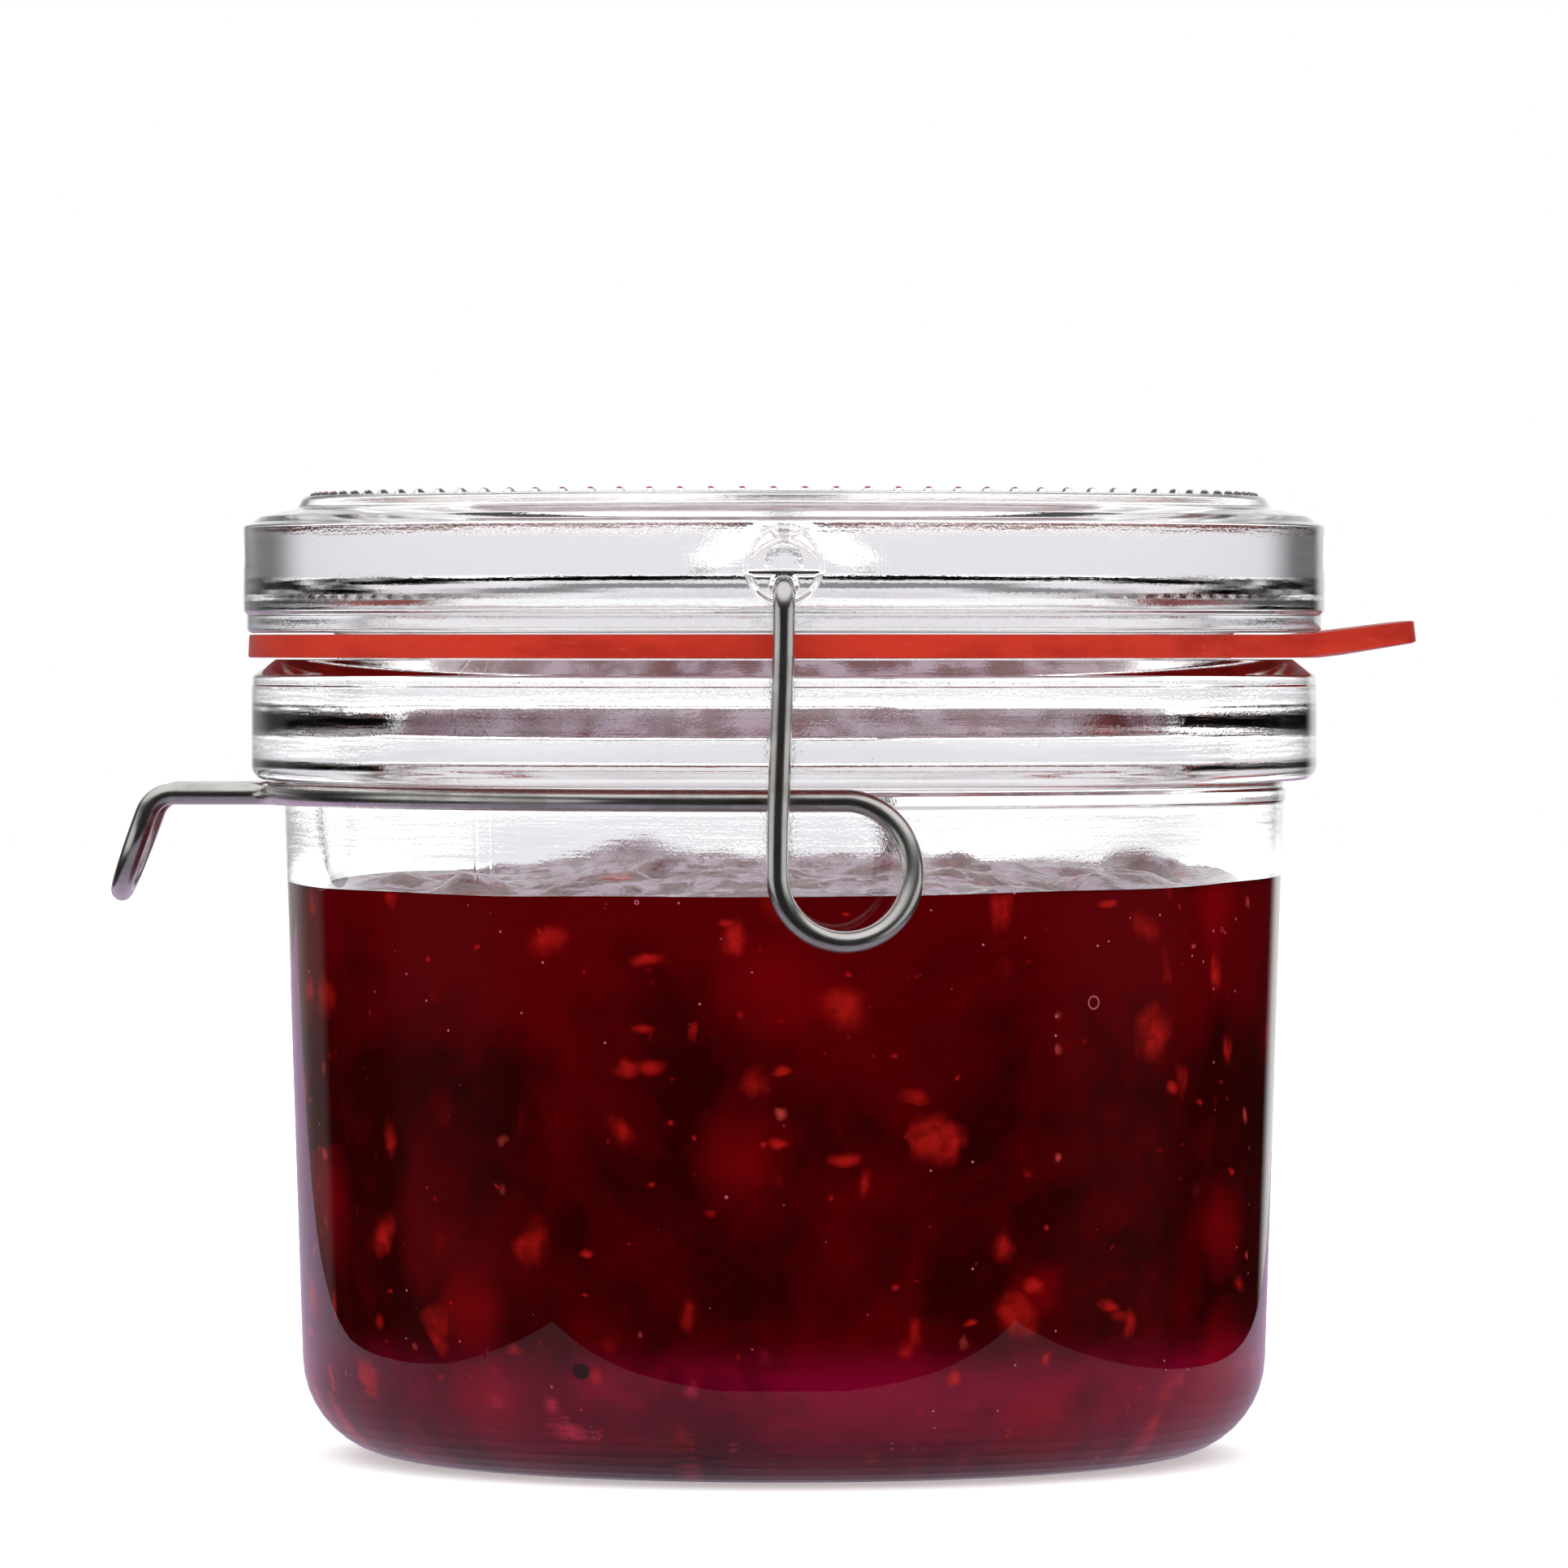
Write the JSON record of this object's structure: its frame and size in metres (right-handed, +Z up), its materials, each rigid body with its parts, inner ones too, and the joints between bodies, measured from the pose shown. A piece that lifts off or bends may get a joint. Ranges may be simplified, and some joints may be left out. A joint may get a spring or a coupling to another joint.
{
  "type": "bail clamp jar",
  "caption": "Round clear glass storage jar with a glass lid, a rubber seal ring with a pull tab and a one-piece wire bail clip, filled with dark red jam.",
  "frame": {"origin": "centre of the jar's flat base, on the jar's own axis", "axes": "+Z up along the jar's axis; +X towards the seal ring's pull tab, with the wire's handle at -X; -Y the front, where one spring loop of the wire shows"},
  "size_m": [0.1337, 0.118, 0.0984],
  "materials": {
    "jar_glass": "clear polished pressed glass",
    "lid_glass": "clear polished pressed glass",
    "jam": "wet glossy dark red fruit preserve",
    "seal_rubber": "soft satin orange-red rubber",
    "clip_steel": "bright drawn stainless wire"
  },
  "bodies": {
    "jar": {"jar_body": "jar_glass", "jam_fill": "jam"},
    "gasket": {"seal_ring": "seal_rubber"},
    "lid": {"glass_lid": "lid_glass"},
    "clip": {"wire_clip": "clip_steel"}
  },
  "joints": [
    {"name": "ring_lift", "type": "slide", "parent": "jar", "child": "gasket", "axis": [0, 0, 1], "range_m": [0, 0.025]},
    {"name": "lid_lift", "type": "slide", "parent": "gasket", "child": "lid", "axis": [0, 0, 1], "range_m": [0, 0.05]},
    {"name": "clip_swing", "type": "hinge", "parent": "lid", "child": "clip", "pos_m": [0, 0, 0.0884], "axis": [0, 1, 0], "range_deg": [0, 180], "deforming": ["wire_clip"]}
  ]
}
